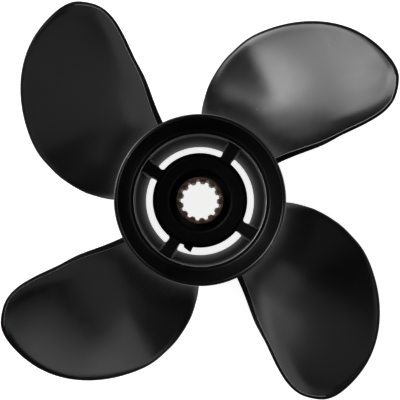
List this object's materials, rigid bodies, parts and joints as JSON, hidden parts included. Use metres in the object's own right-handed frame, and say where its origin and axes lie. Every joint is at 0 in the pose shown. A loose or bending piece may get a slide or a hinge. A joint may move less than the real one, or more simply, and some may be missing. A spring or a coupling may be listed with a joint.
{
  "type": "outboard motor propeller",
  "caption": "Left-hand outboard propeller: raked, skewed blades on an exhaust hub with a flared stern ring, ribs, a rubber bushing and a splined bronze sleeve.",
  "frame": {"origin": "on the shaft axis, in the plane of the barrel's front rim, on which the propeller stands", "axes": "+Z along the shaft towards the stern, +X through the middle of one exhaust slot, and the blade roots and ribs at 45, 135, 225 and 315 degrees about +Z"},
  "size_m": [0.2426, 0.2426, 0.095],
  "materials": {
    "black_paint": "satin",
    "black_rubber": "matte",
    "bronze": "satin"
  },
  "bodies": {
    "root": {"barrel": "black_paint", "diffuser_ring": "black_paint", "inner_hub": "black_paint", "rib_1": "black_paint", "rib_2": "black_paint", "rib_3": "black_paint", "rib_4": "black_paint", "blade_1": "black_paint", "blade_2": "black_paint", "blade_3": "black_paint", "blade_4": "black_paint", "rubber_bushing": "black_rubber", "splined_sleeve": "bronze"}
  },
  "joints": []
}
